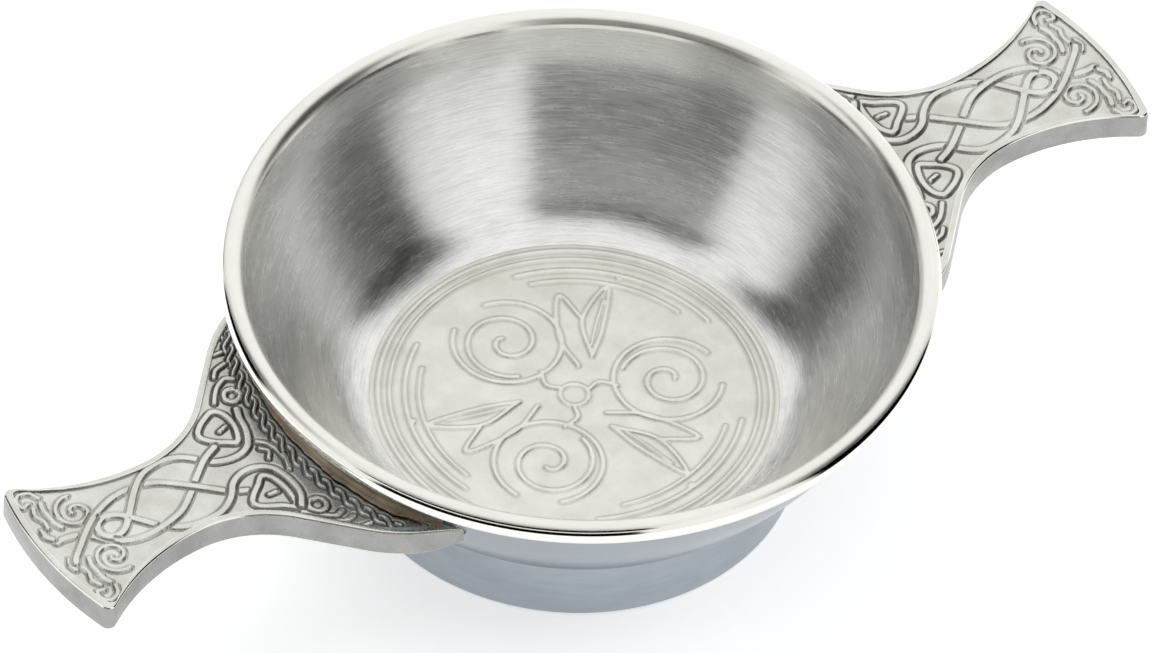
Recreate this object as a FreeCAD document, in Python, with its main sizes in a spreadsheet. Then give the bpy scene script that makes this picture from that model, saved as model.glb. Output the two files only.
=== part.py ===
"""A quaich: a shallow two-lugged drinking bowl of spun pewter on a ring foot.

Millimetres, +Z up. The origin is the centre of the foot on the surface that the
bowl stands on, and the two lugs lie along X.
"""
import FreeCAD, Part
import math
import os
import Sketcher

SIZES = [
    # alias, value, what it is
    ("rim_radius", 50.0, "outer radius of the rolled rim"),
    ("bead_radius", 1.65, "radius of the rolled bead at the rim"),
    ("total_height", 37.0, "top of the bead above the table"),
    ("wall", 1.6, "thickness of the spun wall and floor"),
    ("belly_radius", 70.0, "outer radius of the long curve of the wall"),
    ("belly_offset", 16.8, "how far past the axis that curve's centre lies"),
    ("belly_height", 60.1, "height of that curve's centre"),
    ("corner_turn", 42.3, "steepness in degrees where the wall turns into the floor"),
    ("floor_height", 9.95, "inside floor of the bowl above the table"),
    ("medallion_radius", 28.6, "radius of the cast disc in the floor"),
    ("medallion_top", 10.85, "height of the disc's field"),
    ("foot_radius", 31.5, "outer radius of the foot at the table"),
    ("foot_neck", 30.0, "outer radius of the foot under the bowl"),
    ("foot_wall", 1.8, "thickness of the foot ring"),
    ("foot_edge", 0.5, "rounding of the foot's lower edges"),
    ("lug_top", 29.8, "height of the lugs' upper face"),
    ("lug_depth", 4.5, "thickness of the lugs"),
    ("end_reach", 89.0, "how far the middle of a lug's end lies from the axis"),
    ("corner_reach", 87.0, "how far a lug's end corners lie from the axis"),
    ("end_half", 13.9, "half the width of a lug's end"),
    ("waist_reach", 67.9, "how far a lug's narrowest place lies from the axis"),
    ("waist_half", 7.4, "half the width there"),
    ("flare_radius", 16.8, "radius of the curve from the waist to the horns"),
    ("flare_slope", 46.5, "angle in degrees that a horn's side reaches"),
    ("horn_reach", 49.0, "where a horn's side starts to bend back to the bowl"),
    ("horn_radius", 22.0, "radius of that bend"),
    ("horn_slope", 25.0, "angle in degrees of a horn's side at its tip"),
    ("horn_end", 36.0, "reach of the horn's outline, which the bowl cuts short"),
    ("corner_round", 1.2, "rounding of a lug's end corners"),
    ("lug_edge", 0.6, "rounding of a lug's lower edge"),
    ("border", 1.0, "width of the plain border round a lug's field"),
    ("field_depth", 0.4, "depth of that field under the border"),
    ("seam", 0.15, "solder between a lug's root and the wall"),
    ("seam_angle", 60.0, "degrees of the wall that a lug's solder covers"),
    ("fillet_out", 1.7, "leg of the upper solder fillet along the lug"),
    ("fillet_up", 1.5, "leg of the upper solder fillet along the wall"),
    ("fillet_under", 1.0, "legs of the solder fillet under a lug"),
    ("foot_fillet", 1.6, "legs of the solder fillet round the foot"),
    ("foot_curve", 4.0, "radius of that fillet's hollow face"),
    ("fillet_curve", 1.9, "radius of the hollow face of the lugs' solder fillets"),
]

WALL_CENTRE = "(-sizes.belly_offset)"
BEAD_HEIGHT = "(sizes.total_height - sizes.bead_radius)"
BEAD_REACH = "(sizes.rim_radius - sizes.bead_radius)"
UNDER_FLOOR = "(sizes.floor_height - sizes.wall)"
LUG_UNDER = "(sizes.lug_top - sizes.lug_depth)"
CORNER_RADIUS = (
    "((sizes.belly_height - sizes.belly_radius * sin(sizes.corner_turn)"
    f" - {UNDER_FLOOR}) / (1 - sin(sizes.corner_turn)))"
)
FLAT_RADIUS = (
    "(sizes.belly_radius * cos(sizes.corner_turn) - sizes.belly_offset"
    f" - {CORNER_RADIUS} * cos(sizes.corner_turn))"
)


def wall_reach(height, offset="0"):
    """Radius of the wall's outer face at a height, moved outwards by an offset."""
    rise = f"(sizes.belly_height - {height})"
    return f"(sqrt((sizes.belly_radius + {offset})^2 - {rise}^2) + {WALL_CENTRE})"


def corner_point(offset):
    """Where the wall's long curve runs into its corner curve."""
    reach = f"((sizes.belly_radius + {offset}) * cos(sizes.corner_turn) + {WALL_CENTRE})"
    height = f"(sizes.belly_height - (sizes.belly_radius + {offset}) * sin(sizes.corner_turn))"
    return reach, height


def corner_height(reach, offset="0"):
    """Height of the corner curve, moved outwards by an offset, at a radius."""
    centre = f"({UNDER_FLOOR} + {CORNER_RADIUS})"
    return f"({centre} - sqrt(({CORNER_RADIUS} + {offset})^2 - ({reach} - {FLAT_RADIUS})^2))"


def make_sheet(doc):
    sheet = doc.addObject("Spreadsheet::Sheet", "sizes")
    for row, (alias, value, meaning) in enumerate(SIZES, start=1):
        sheet.set(f"A{row}", alias)
        sheet.set(f"B{row}", str(value))
        sheet.set(f"C{row}", meaning)
        sheet.setAlias(f"B{row}", alias)
    doc.recompute()
    return sheet


def make_body(doc, label):
    body = doc.addObject("PartDesign::Body", label)
    body.Label = label
    return body


def origin_plane(body, role):
    return next(item for item in body.Origin.OriginFeatures if item.Role == role)


def make_sketch(body, name, role, height=None):
    """A sketch on one of the body's own origin planes, raised by an expression."""
    sketch = body.newObject("Sketcher::SketchObject", name)
    sketch.AttachmentSupport = (origin_plane(body, role), [""])
    sketch.MapMode = "FlatFace"
    if height:
        sketch.setExpression("AttachmentOffset.Base.z", height)
        body.Document.recompute()
    return sketch


def bind(sketch, constraint, expression):
    index = sketch.addConstraint(constraint)
    sketch.setExpression(f"Constraints[{index}]", expression)


def pin(sketch, piece, end, axis, expression, value):
    """Hold one coordinate of a curve's end at an expression."""
    if abs(value) < 1e-9:
        line = -2 if axis == "X" else -1
        sketch.addConstraint(Sketcher.Constraint("PointOnObject", piece, end, line))
    elif value > 0:
        rule = Sketcher.Constraint(f"Distance{axis}", -1, 1, piece, end, value)
        bind(sketch, rule, expression)
    else:
        rule = Sketcher.Constraint(f"Distance{axis}", piece, end, -1, 1, -value)
        bind(sketch, rule, f"-({expression})")


def arc_between(start, end, radius):
    """The short arc from start to end. A positive radius turns left on the way."""
    chord = end - start
    left = FreeCAD.Vector(-chord.y, chord.x, 0).normalize()
    rise = math.sqrt(radius ** 2 - (chord.Length / 2) ** 2)
    centre = (start + end) * 0.5 + left * math.copysign(rise, radius)
    first, last = (start, end) if radius > 0 else (end, start)
    angles = [math.atan2(point.y - centre.y, point.x - centre.x) for point in (first, last)]
    circle = Part.Circle(centre, FreeCAD.Vector(0, 0, 1), abs(radius))
    return Part.ArcOfCircle(circle, angles[0], angles[1])


def draw_outline(sketch, corners):
    """Draw a closed outline. A corner is (x, y, bend), all expressions: bend is None
    for a straight side to the next corner, or the radius of an arc, and a leading
    minus sign on it turns the arc to the right."""
    sheet = sketch.Document.getObject("sizes")

    def value(expression):
        return float(sheet.evalExpression(expression))

    places = [FreeCAD.Vector(value(x), value(y), 0) for x, y, _ in corners]
    ends = []
    for index, (x, y, bend) in enumerate(corners):
        start, end = places[index], places[(index + 1) % len(places)]
        if bend is None:
            piece = sketch.addGeometry(Part.LineSegment(start, end))
            ends.append((piece, 1, 2))
            continue
        radius = value(bend)
        piece = sketch.addGeometry(arc_between(start, end, radius))
        ends.append((piece, 1, 2) if radius > 0 else (piece, 2, 1))
        size = bend if radius > 0 else f"-({bend})"
        bind(sketch, Sketcher.Constraint("Radius", piece, abs(radius)), size)
    for index, (x, y, _) in enumerate(corners):
        piece, first, last = ends[index]
        pin(sketch, piece, first, "X", x, places[index].x)
        pin(sketch, piece, first, "Y", y, places[index].y)
        following = ends[(index + 1) % len(ends)]
        sketch.addConstraint(Sketcher.Constraint("Coincident", piece, last, following[0], following[1]))


def revolve(body, name, corners, kind="PartDesign::Revolution", angle=None):
    """Turn an outline, drawn as radius and height, about the bowl's axis."""
    sketch = make_sketch(body, f"{name}_outline", "XZ_Plane")
    draw_outline(sketch, corners)
    turned = body.newObject(kind, name)
    turned.Profile = sketch
    turned.ReferenceAxis = (sketch, ["V_Axis"])
    if angle:
        turned.setExpression("Angle", angle)
        turned.Midplane = True
    else:
        turned.Angle = 360.0
    body.Document.recompute()
    return turned


def add_fillet(body, name, base, radius, chosen):
    """Round the edges of a feature that the chosen test picks."""
    edges = [f"Edge{index}" for index, edge in enumerate(base.Shape.Edges, start=1) if chosen(edge)]
    fillet = body.newObject("PartDesign::Fillet", name)
    fillet.Base = (base, edges)
    fillet.setExpression("Radius", radius)
    body.Document.recompute()
    return fillet


def make_bowl(doc):
    """The spun bowl: wall and floor in one skin, and the bead rolled over at its rim."""
    body = make_body(doc, "bowl_body")
    outer_corner = corner_point("0")
    inner_corner = corner_point("(-sizes.wall)")
    corners = [
        ("0", UNDER_FLOOR, None),
        (FLAT_RADIUS, UNDER_FLOOR, CORNER_RADIUS),
        (*outer_corner, "sizes.belly_radius"),
        (wall_reach(BEAD_HEIGHT), BEAD_HEIGHT, None),
        (wall_reach(BEAD_HEIGHT, "(-sizes.wall)"), BEAD_HEIGHT, "-(sizes.belly_radius - sizes.wall)"),
        (*inner_corner, f"-({CORNER_RADIUS} - sizes.wall)"),
        (FLAT_RADIUS, "sizes.floor_height", None),
        ("0", "sizes.floor_height", None),
    ]
    revolve(body, "bowl_wall", corners)
    bead = body.newObject("PartDesign::AdditiveTorus", "rim_bead")
    bead.setExpression("Radius1", BEAD_REACH)
    bead.setExpression("Radius2", "sizes.bead_radius")
    bead.setExpression("AttachmentOffset.Base.z", BEAD_HEIGHT)
    bead.AttachmentSupport = (origin_plane(body, "XY_Plane"), [""])
    bead.MapMode = "FlatFace"
    return body


def make_medallion(doc):
    """The cast disc that lies in the floor and follows the start of its corner curve."""
    body = make_body(doc, "floor_medallion")
    corners = [
        ("0", "sizes.floor_height", None),
        (FLAT_RADIUS, "sizes.floor_height", f"({CORNER_RADIUS} - sizes.wall)"),
        ("sizes.medallion_radius", corner_height("sizes.medallion_radius", "(-sizes.wall)"), None),
        ("sizes.medallion_radius", "sizes.medallion_top", None),
        ("0", "sizes.medallion_top", None),
    ]
    revolve(body, "medallion_disc", corners)
    return body


def make_foot(doc):
    """The foot ring, its upper edge fitted to the curve under the bowl."""
    body = make_body(doc, "foot_ring")
    inner_neck = "(sizes.foot_neck - sizes.foot_wall)"
    corners = [
        ("(sizes.foot_radius - sizes.foot_wall)", "0", None),
        ("sizes.foot_radius", "0", None),
        ("sizes.foot_neck", corner_height("sizes.foot_neck"), f"-{CORNER_RADIUS}"),
        (inner_neck, corner_height(inner_neck), None),
    ]
    ring = revolve(body, "foot_wall", corners)
    add_fillet(body, "foot_edges", ring, "sizes.foot_edge", lambda edge: edge.BoundBox.ZMax < 0.01)
    return body


def make_foot_solder(doc):
    """The ring of solder in the corner between the foot and the bowl."""
    body = make_body(doc, "foot_solder")
    neck = "sizes.foot_neck"
    low = f"({corner_height(neck)} - sizes.foot_fillet)"
    lean = f"((sizes.foot_radius - sizes.foot_neck) / {corner_height(neck)})"
    outside = "(sizes.foot_neck + sizes.foot_fillet)"
    corners = [
        (f"({neck} + sizes.foot_fillet * {lean})", low, "-sizes.foot_curve"),
        (outside, corner_height(outside), f"-{CORNER_RADIUS}"),
        (neck, corner_height(neck), None),
    ]
    revolve(body, "foot_solder_ring", corners)
    return body


def lug_side(inset):
    """One long side of a lug, from its end corner to the bend in its horn."""
    corner = (f"(sizes.corner_reach - {inset})", f"(sizes.end_half - 1.15 * {inset})")
    waist = ("sizes.waist_reach", f"(sizes.waist_half - {inset})")
    rise = f"({corner[1]} - {waist[1]})"
    end_curve = f"((({corner[0]} - {waist[0]})^2 + {rise}^2) / (2 * {rise}))"
    flare = f"(sizes.flare_radius + {inset})"
    turned = (
        f"({waist[0]} - {flare} * sin(sizes.flare_slope))",
        f"({waist[1]} + {flare} * (1 - cos(sizes.flare_slope)))",
    )
    bend = (
        "sizes.horn_reach",
        f"({turned[1]} + ({turned[0]} - sizes.horn_reach) * tan(sizes.flare_slope))",
    )
    horn = f"(sizes.horn_radius - {inset})"
    tip = (
        f"({bend[0]} - {horn} * (sin(sizes.flare_slope) - sin(sizes.horn_slope)))",
        f"({bend[1]} + {horn} * (cos(sizes.horn_slope) - cos(sizes.flare_slope)))",
    )
    return [(*corner, f"-{end_curve}"), (*waist, f"-{flare}"), (*turned, None), (*bend, horn), (*tip, None)]


def mirrored(side):
    """The same side below the lug's middle line, run the other way."""
    bends = [bend for _, _, bend in side]
    back = []
    for index in range(len(side) - 1, -1, -1):
        x, y, _ = side[index]
        back.append((x, f"(-{y})", bends[index - 1] if index else None))
    return back


def end_curve_radius(inset):
    half = f"(sizes.end_half - 1.15 * {inset})"
    sagitta = "(sizes.end_reach - sizes.corner_reach)"
    return f"(({half}^2 + {sagitta}^2) / (2 * {sagitta}))"


def make_lug(doc, label, turn):
    """A cast lug: waisted plate, two horns that lie on the bowl, and a sunk field."""
    body = make_body(doc, label)
    side = lug_side("0")
    tip = side[-1]
    horn_height = f"({tip[1]} + ({tip[0]} - sizes.horn_end) * tan(sizes.horn_slope))"
    ends = [("sizes.horn_end", horn_height, None), ("sizes.horn_end", f"(-{horn_height})", None)]
    lower = mirrored(side)
    lower[-1] = (lower[-1][0], lower[-1][1], end_curve_radius("0"))
    outline = make_sketch(body, f"{label}_outline", "XY_Plane", LUG_UNDER)
    draw_outline(outline, side + ends + lower)
    plate = body.newObject("PartDesign::Pad", f"{label}_plate")
    plate.Profile = outline
    plate.setExpression("Length", "sizes.lug_depth")
    doc.recompute()

    field_side = lug_side("sizes.border")
    field_tip = field_side[-1]
    root = f"sqrt({field_tip[0]}^2 + {field_tip[1]}^2)"
    field_side[-1] = (field_tip[0], field_tip[1], f"-({root})")
    field_lower = mirrored(field_side)
    field_lower[-1] = (field_lower[-1][0], field_lower[-1][1], end_curve_radius("sizes.border"))
    field = make_sketch(body, f"{label}_field_outline", "XY_Plane", "sizes.lug_top")
    draw_outline(field, field_side + field_lower)
    sunk = body.newObject("PartDesign::Pocket", f"{label}_field")
    sunk.Profile = field
    sunk.setExpression("Length", "sizes.field_depth")
    doc.recompute()

    below = f"({LUG_UNDER} - 1)"
    above = "(sizes.lug_top + 1)"
    seat = [
        ("0", below, None),
        (wall_reach(below, "sizes.seam"), below, "(sizes.belly_radius + sizes.seam)"),
        (wall_reach(above, "sizes.seam"), above, None),
        ("0", above, None),
    ]
    seated = revolve(body, f"{label}_seat", seat, "PartDesign::Groove")

    corner_reach = doc.sizes.corner_reach
    under = doc.sizes.lug_top - doc.sizes.lug_depth

    def is_end_corner(edge):
        box = edge.BoundBox
        return box.ZLength > 2 and abs(box.XMax - corner_reach) < 0.01 and box.XLength < 0.01

    def is_under_edge(edge):
        box = edge.BoundBox
        return box.ZLength < 0.01 and abs(box.ZMax - under) < 0.01 and box.XMax > 50

    rounded = add_fillet(body, f"{label}_corners", seated, "sizes.corner_round", is_end_corner)
    add_fillet(body, f"{label}_under_edge", rounded, "sizes.lug_edge", is_under_edge)
    body.Placement = FreeCAD.Placement(FreeCAD.Vector(), FreeCAD.Rotation(FreeCAD.Vector(0, 0, 1), turn))
    return body


def make_lug_solder(doc, label, turn):
    """The solder that holds a lug: a thin seam at its root and a fillet on each side."""
    body = make_body(doc, label)
    raised = "(sizes.lug_top + sizes.fillet_up)"
    dropped = f"({LUG_UNDER} - sizes.fillet_under)"
    corners = [
        (wall_reach(dropped), dropped, "-sizes.fillet_curve"),
        (f"({wall_reach(LUG_UNDER)} + sizes.fillet_under)", LUG_UNDER, None),
        (wall_reach(LUG_UNDER, "sizes.seam"), LUG_UNDER, "(sizes.belly_radius + sizes.seam)"),
        (wall_reach("sizes.lug_top", "sizes.seam"), "sizes.lug_top", None),
        (f"({wall_reach('sizes.lug_top')} + sizes.fillet_out)", "sizes.lug_top", "-sizes.fillet_curve"),
        (wall_reach(raised), raised, "-sizes.belly_radius"),
    ]
    revolve(body, f"{label}_seam", corners, angle="sizes.seam_angle")
    body.Placement = FreeCAD.Placement(FreeCAD.Vector(), FreeCAD.Rotation(FreeCAD.Vector(0, 0, 1), turn))
    return body


def check_document(doc, pieces):
    for item in doc.Objects:
        if "Invalid" in item.State or "Error" in item.State:
            raise RuntimeError(f"{item.Name} failed: {item.State}")
    for piece in pieces:
        shape = piece.Shape
        if shape.isNull() or not shape.isValid() or len(shape.Solids) != 1:
            raise RuntimeError(f"{piece.Label} is not one valid solid")


def main():
    doc = FreeCAD.newDocument("quaich")
    make_sheet(doc)
    pieces = [
        make_bowl(doc),
        make_medallion(doc),
        make_foot(doc),
        make_foot_solder(doc),
        make_lug(doc, "right_lug", 0),
        make_lug_solder(doc, "right_lug_solder", 0),
        make_lug(doc, "left_lug", 180),
        make_lug_solder(doc, "left_lug_solder", 180),
    ]
    doc.recompute()
    check_document(doc, pieces)
    os.makedirs("parts", exist_ok=True)
    for piece in pieces:
        piece.Shape.exportStep(f"parts/{piece.Label}.step")
        box = piece.Shape.optimalBoundingBox(False, False)
        spans = [f"{box.XMin:.2f} to {box.XMax:.2f}", f"{box.YMin:.2f} to {box.YMax:.2f}"]
        spans.append(f"{box.ZMin:.2f} to {box.ZMax:.2f}")
        print(f"{piece.Label}: {piece.Shape.Volume:.0f} mm3, box {', '.join(spans)}")


main()
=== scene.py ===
# %% [markdown]
# # A quaich in spun and cast pewter
#
# A quaich is a shallow drinking bowl with two flat lugs, passed from hand to hand. This one has a bowl
# spun from sheet, a foot ring, a cast disc in the floor and two cast lugs carved with interlace. Each
# piece is built here by the operations that its maker would use: turning, rolling, casting, soldering.

import math

import bmesh
import bpy
import numpy as np
from mathutils import Matrix, Vector, noise
from mathutils.kdtree import KDTree


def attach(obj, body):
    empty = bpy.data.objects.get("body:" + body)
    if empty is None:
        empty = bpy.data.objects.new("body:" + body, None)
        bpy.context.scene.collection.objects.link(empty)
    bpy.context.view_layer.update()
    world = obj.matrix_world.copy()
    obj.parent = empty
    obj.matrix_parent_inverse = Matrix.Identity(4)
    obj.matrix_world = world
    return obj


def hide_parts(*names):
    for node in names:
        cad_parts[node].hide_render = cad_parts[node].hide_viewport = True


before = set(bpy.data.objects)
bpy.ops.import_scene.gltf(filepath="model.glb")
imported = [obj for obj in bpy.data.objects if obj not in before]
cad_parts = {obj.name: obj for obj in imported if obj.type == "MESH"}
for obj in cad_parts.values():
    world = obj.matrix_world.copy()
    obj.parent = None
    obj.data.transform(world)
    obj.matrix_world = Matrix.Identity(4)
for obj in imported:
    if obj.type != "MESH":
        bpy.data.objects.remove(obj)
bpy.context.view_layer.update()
MM = 0.001

# %% [markdown]
# ## The camera
#
# The photograph was taken from far away with a long lens, 47 degrees above the table and 36 degrees
# round from square to the lugs, and it leans by 3 degrees. The lens is set so that the rim comes out
# at the size that it has in the picture.

# %% Camera
PICTURE_WIDTH = 1167
PIXELS_PER_METRE = 7234.5
CAMERA_DISTANCE = 5.0
SENSOR_WIDTH = 36
elevation = math.radians(47.11)
azimuth = math.radians(36.48)
lean = math.radians(2.98)

towards_camera = Vector((
    -math.sin(azimuth) * math.cos(elevation),
    -math.cos(azimuth) * math.cos(elevation),
    math.sin(elevation),
))
camera_turn = towards_camera.to_track_quat("Z", "Y").to_matrix() @ Matrix.Rotation(lean, 3, "Z")
camera_right = camera_turn.col[0]
camera_up = camera_turn.col[1]
rim_centre = Vector((0, 0, 35.35 * MM))
aside = 2.7 / PIXELS_PER_METRE
below = 52.6 / PIXELS_PER_METRE

camera_data = bpy.data.cameras.new("camera")
camera_data.sensor_width = SENSOR_WIDTH
camera_data.lens = PIXELS_PER_METRE * CAMERA_DISTANCE * SENSOR_WIDTH / PICTURE_WIDTH
camera_data.clip_end = 50
camera = bpy.data.objects.new("camera", camera_data)
bpy.context.collection.objects.link(camera)
camera.location = (
    rim_centre + towards_camera * CAMERA_DISTANCE + camera_right * aside - camera_up * below
)
camera.rotation_euler = camera_turn.to_euler()
bpy.context.scene.camera = camera
bpy.context.scene.view_settings.view_transform = "Standard"

# %% [markdown]
# ## Shading helpers
#
# Every finish is a small network of nodes. Effects that more than one finish uses are groups, which
# give out masks and heights; each material joins them up in its own way.

# %% Node helpers
def put(tree, kind, inputs=None, **settings):
    """Add a node. Inputs may be values or the outputs of other nodes."""
    made = tree.nodes.new(kind)
    for name, value in settings.items():
        setattr(made, name, value)
    for name, value in (inputs or {}).items():
        socket = made.inputs[name]
        if isinstance(value, bpy.types.NodeSocket):
            tree.links.new(value, socket)
        else:
            socket.default_value = value
    return made


def calculate(tree, operation, first, second=0.0):
    return put(tree, "ShaderNodeMath", {0: first, 1: second}, operation=operation).outputs[0]


def remap(tree, value, low, high, to_low=0.0, to_high=1.0):
    sockets = {"Value": value, "From Min": low, "From Max": high, "To Min": to_low, "To Max": to_high}
    return put(tree, "ShaderNodeMapRange", sockets).outputs["Result"]


def blend(tree, amount, first, second):
    mixer = put(tree, "ShaderNodeMix", data_type="RGBA")
    for place, value in ((0, amount), (6, first), (7, second)):
        if isinstance(value, bpy.types.NodeSocket):
            tree.links.new(value, mixer.inputs[place])
        else:
            mixer.inputs[place].default_value = value
    return mixer.outputs[2]


def new_group(name, inputs, outputs):
    group = bpy.data.node_groups.new(name, "ShaderNodeTree")
    for label, value in inputs:
        socket = group.interface.new_socket(label, in_out="INPUT", socket_type="NodeSocketFloat")
        socket.default_value = value
    for label in outputs:
        group.interface.new_socket(label, in_out="OUTPUT", socket_type="NodeSocketFloat")
    return group, group.nodes.new("NodeGroupInput"), group.nodes.new("NodeGroupOutput")


def use_group(tree, group, **values):
    made = put(tree, "ShaderNodeGroup", node_tree=group)
    for label, value in values.items():
        made.inputs[label.replace("_", " ")].default_value = value
    return made


def new_material(name):
    material = bpy.data.materials.new(name)
    material.use_nodes = True
    tree = material.node_tree
    tree.nodes.clear()
    shader = tree.nodes.new("ShaderNodeBsdfPrincipled")
    output = tree.nodes.new("ShaderNodeOutputMaterial")
    tree.links.new(shader.outputs["BSDF"], output.inputs["Surface"])
    return material, tree, shader


# %% [markdown]
# ## Marks of turning
#
# A spun bowl is finished on the lathe with abrasive, which leaves fine broken scratches that run round
# the axis. The noise is read at the distance along the profile, finely, and at the direction round the
# axis, coarsely, so each scratch is long and thin and there is no seam.

# %% Turning marks
turning_marks, marks_in, marks_out = new_group(
    "turning_marks", [("Lines per metre", 2600.0), ("Strokes", 7.0)], ["Fine", "Broad"]
)
place = put(turning_marks, "ShaderNodeTexCoord").outputs["Object"]
split = put(turning_marks, "ShaderNodeSeparateXYZ", {0: place})
flat = put(turning_marks, "ShaderNodeCombineXYZ", {"X": split.outputs["X"], "Y": split.outputs["Y"]})
length = put(turning_marks, "ShaderNodeVectorMath", {0: flat.outputs[0]}, operation="LENGTH")
reach = length.outputs["Value"]
unit = put(turning_marks, "ShaderNodeVectorMath", {0: flat.outputs[0]}, operation="NORMALIZE")
ahead = unit.outputs[0]
around = put(turning_marks, "ShaderNodeVectorMath", {0: ahead}, operation="SCALE")
turning_marks.links.new(marks_in.outputs["Strokes"], around.inputs["Scale"])
round_split = put(turning_marks, "ShaderNodeSeparateXYZ", {0: around.outputs[0]})
along = calculate(turning_marks, "ADD", reach, split.outputs["Z"])
for label, share, detail in (("Fine", 1.0, 4.0), ("Broad", 0.16, 2.0)):
    density = calculate(turning_marks, "MULTIPLY", marks_in.outputs["Lines per metre"], share)
    line = calculate(turning_marks, "MULTIPLY", along, density)
    where = put(turning_marks, "ShaderNodeCombineXYZ", {
        "X": line, "Y": round_split.outputs["X"], "Z": round_split.outputs["Y"],
    })
    texture = put(turning_marks, "ShaderNodeTexNoise", {
        "Vector": where.outputs[0], "Scale": 1.0, "Detail": detail, "Roughness": 0.65,
    })
    turning_marks.links.new(texture.outputs["Fac"], marks_out.inputs[label])

# %% [markdown]
# ## Grain of castings, and tarnish
#
# Cast pewter keeps the fine grain of its mould. Pewter that has been handled and cleaned stays bright
# on top, and turns brown and black where a cloth does not reach. The darkening in the hollows of the
# castings is partly that tarnish and partly painted shade.

# %% Cast grain and tarnish patches
cast_grain, grain_in, grain_out = new_group(
    "cast_grain", [("Grains per metre", 3500.0)], ["Grain", "Patches"]
)
place = put(cast_grain, "ShaderNodeTexCoord").outputs["Object"]
for label, share, detail in (("Grain", 1.0, 3.0), ("Patches", 0.05, 4.0)):
    scale = calculate(cast_grain, "MULTIPLY", grain_in.outputs["Grains per metre"], share)
    texture = put(cast_grain, "ShaderNodeTexNoise", {
        "Vector": place, "Scale": scale, "Detail": detail, "Roughness": 0.6,
    })
    cast_grain.links.new(texture.outputs["Fac"], grain_out.inputs[label])

# %% [markdown]
# ## The finishes of the spun pieces
#
# The inside is satin: scratched finely round the axis, so reflections stretch along the profile. The
# bead is burnished with a smooth steel and shines. The outside and the foot are polished less, and
# their darker, bluer colour is painted shade: a painted reflection of the shaded table under the bowl.

# %% Spun finishes
def spun_finish(name, dark, light, rough_low, rough_high, stretch, depth, strokes=7.0, lines=2600.0):
    material, tree, shader = new_material(name)
    marks = use_group(tree, turning_marks, Lines_per_metre=lines, Strokes=strokes)
    fine = remap(tree, marks.outputs["Fine"], 0.3, 0.7)
    broad = remap(tree, marks.outputs["Broad"], 0.3, 0.7)
    fine_part = calculate(tree, "MULTIPLY", fine, 0.6)
    broad_part = calculate(tree, "MULTIPLY", broad, 0.4)
    both = calculate(tree, "ADD", fine_part, broad_part)
    tree.links.new(blend(tree, both, dark, light), shader.inputs["Base Color"])
    tree.links.new(remap(tree, both, 0.0, 1.0, rough_low, rough_high), shader.inputs["Roughness"])
    shader.inputs["Metallic"].default_value = 1.0
    shader.inputs["Anisotropic"].default_value = stretch
    shader.inputs["Anisotropic Rotation"].default_value = 0.25
    tangent = put(tree, "ShaderNodeTangent", direction_type="RADIAL", axis="Z")
    tree.links.new(tangent.outputs[0], shader.inputs["Tangent"])
    bump = put(tree, "ShaderNodeBump", {"Height": fine, "Strength": 1.0, "Distance": depth * MM})
    tree.links.new(bump.outputs[0], shader.inputs["Normal"])
    return material


satin_inside = spun_finish(
    "satin_inside", (0.66, 0.66, 0.64, 1), (1.0, 1.0, 0.98, 1), 0.21, 0.30, 0.72, 0.007
)
satin_lip = spun_finish(
    "satin_lip", (0.84, 0.83, 0.77, 1), (0.96, 0.95, 0.90, 1), 0.26, 0.36, 0.6, 0.005
)
burnished_bead = spun_finish(
    "burnished_bead", (0.84, 0.82, 0.75, 1), (0.91, 0.90, 0.84, 1), 0.05, 0.11, 0.3, 0.0015, 4.0, 1800.0
)
# The outside and the foot are the same pewter, coloured darker and bluer: painted shade and a painted
# reflection of the shaded table.
smooth_shaded_outside = spun_finish(
    "smooth_shaded_outside", (0.28, 0.31, 0.345, 1), (0.35, 0.39, 0.43, 1), 0.16, 0.26, 0.5, 0.003, 4.0, 1500.0
)
smooth_shaded_foot = spun_finish(
    "smooth_shaded_foot", (0.35, 0.385, 0.42, 1), (0.43, 0.47, 0.51, 1), 0.16, 0.26, 0.5, 0.003, 4.0, 1500.0
)

# %% [markdown]
# ## The finishes of the castings
#
# Both kinds of casting share the grain. Their relief carries an attribute named hollow, from 0 on the
# bright tops to 1 at the bottom of the grooves, and the darkening follows it: tarnish in the grooves,
# and painted shade in the recesses and on the edges of the raised lines.

# %% Cast finishes
def cast_finish(name, bright, worn, dark, rough_low, rough_high, depth):
    material, tree, shader = new_material(name)
    grain = use_group(tree, cast_grain)
    patches = remap(tree, grain.outputs["Patches"], 0.35, 0.65)
    hollow = put(tree, "ShaderNodeAttribute", attribute_name="hollow").outputs["Fac"]
    # The hollow darkening is tarnish in the grooves and painted shade in the recesses.
    tarnish_and_shade = calculate(tree, "MULTIPLY", hollow, remap(tree, patches, 0.0, 1.0, 0.7, 1.0))
    tarnish_and_shade = put(tree, "ShaderNodeClamp", {"Value": tarnish_and_shade}).outputs[0]
    metal = blend(tree, patches, bright, worn)
    tree.links.new(blend(tree, tarnish_and_shade, metal, dark), shader.inputs["Base Color"])
    rough = remap(tree, grain.outputs["Grain"], 0.3, 0.7, rough_low, rough_high)
    rough = calculate(tree, "ADD", rough, calculate(tree, "MULTIPLY", tarnish_and_shade, 0.2))
    tree.links.new(rough, shader.inputs["Roughness"])
    shader.inputs["Metallic"].default_value = 1.0
    bump = put(tree, "ShaderNodeBump", {
        "Height": grain.outputs["Grain"], "Strength": 1.0, "Distance": depth * MM,
    })
    tree.links.new(bump.outputs[0], shader.inputs["Normal"])
    return material


cast_lug = cast_finish(
    "cast_lug", (0.80, 0.80, 0.76, 1), (0.66, 0.66, 0.61, 1), (0.07, 0.06, 0.045, 1), 0.22, 0.34, 0.03
)
cast_disc = cast_finish(
    "cast_disc", (0.89, 0.88, 0.82, 1), (0.79, 0.78, 0.72, 1), (0.42, 0.41, 0.36, 1), 0.30, 0.42, 0.03
)
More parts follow.
